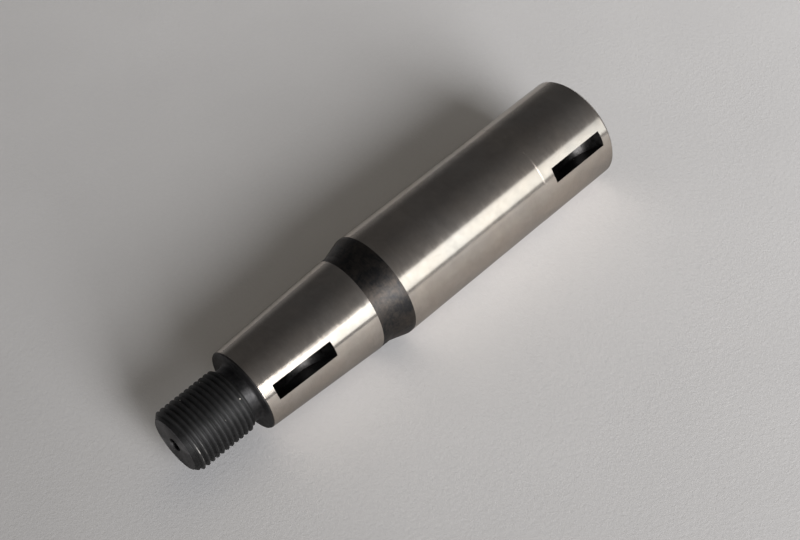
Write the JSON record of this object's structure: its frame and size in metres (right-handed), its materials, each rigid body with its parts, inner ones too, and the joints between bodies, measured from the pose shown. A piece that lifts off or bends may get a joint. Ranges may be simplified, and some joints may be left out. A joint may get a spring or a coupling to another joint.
{
  "type": "tapered drive shaft",
  "caption": "One-piece steel drive shaft with a ground 1:10 taper and a ground journal, a keyseat in each hub seat, a black collar cone between them and a black threaded end.",
  "frame": {"origin": "centre of the plain end face, on which the shaft stands", "axes": "+Z runs along the axis to the threaded end, and both keyseats open toward -Y"},
  "size_m": [0.0401, 0.04, 0.1892],
  "materials": {
    "steel": "ground bright on the taper, journal and hub seat, black oxide on every other surface"
  },
  "bodies": {
    "root": {"shaft": "steel"}
  },
  "joints": []
}
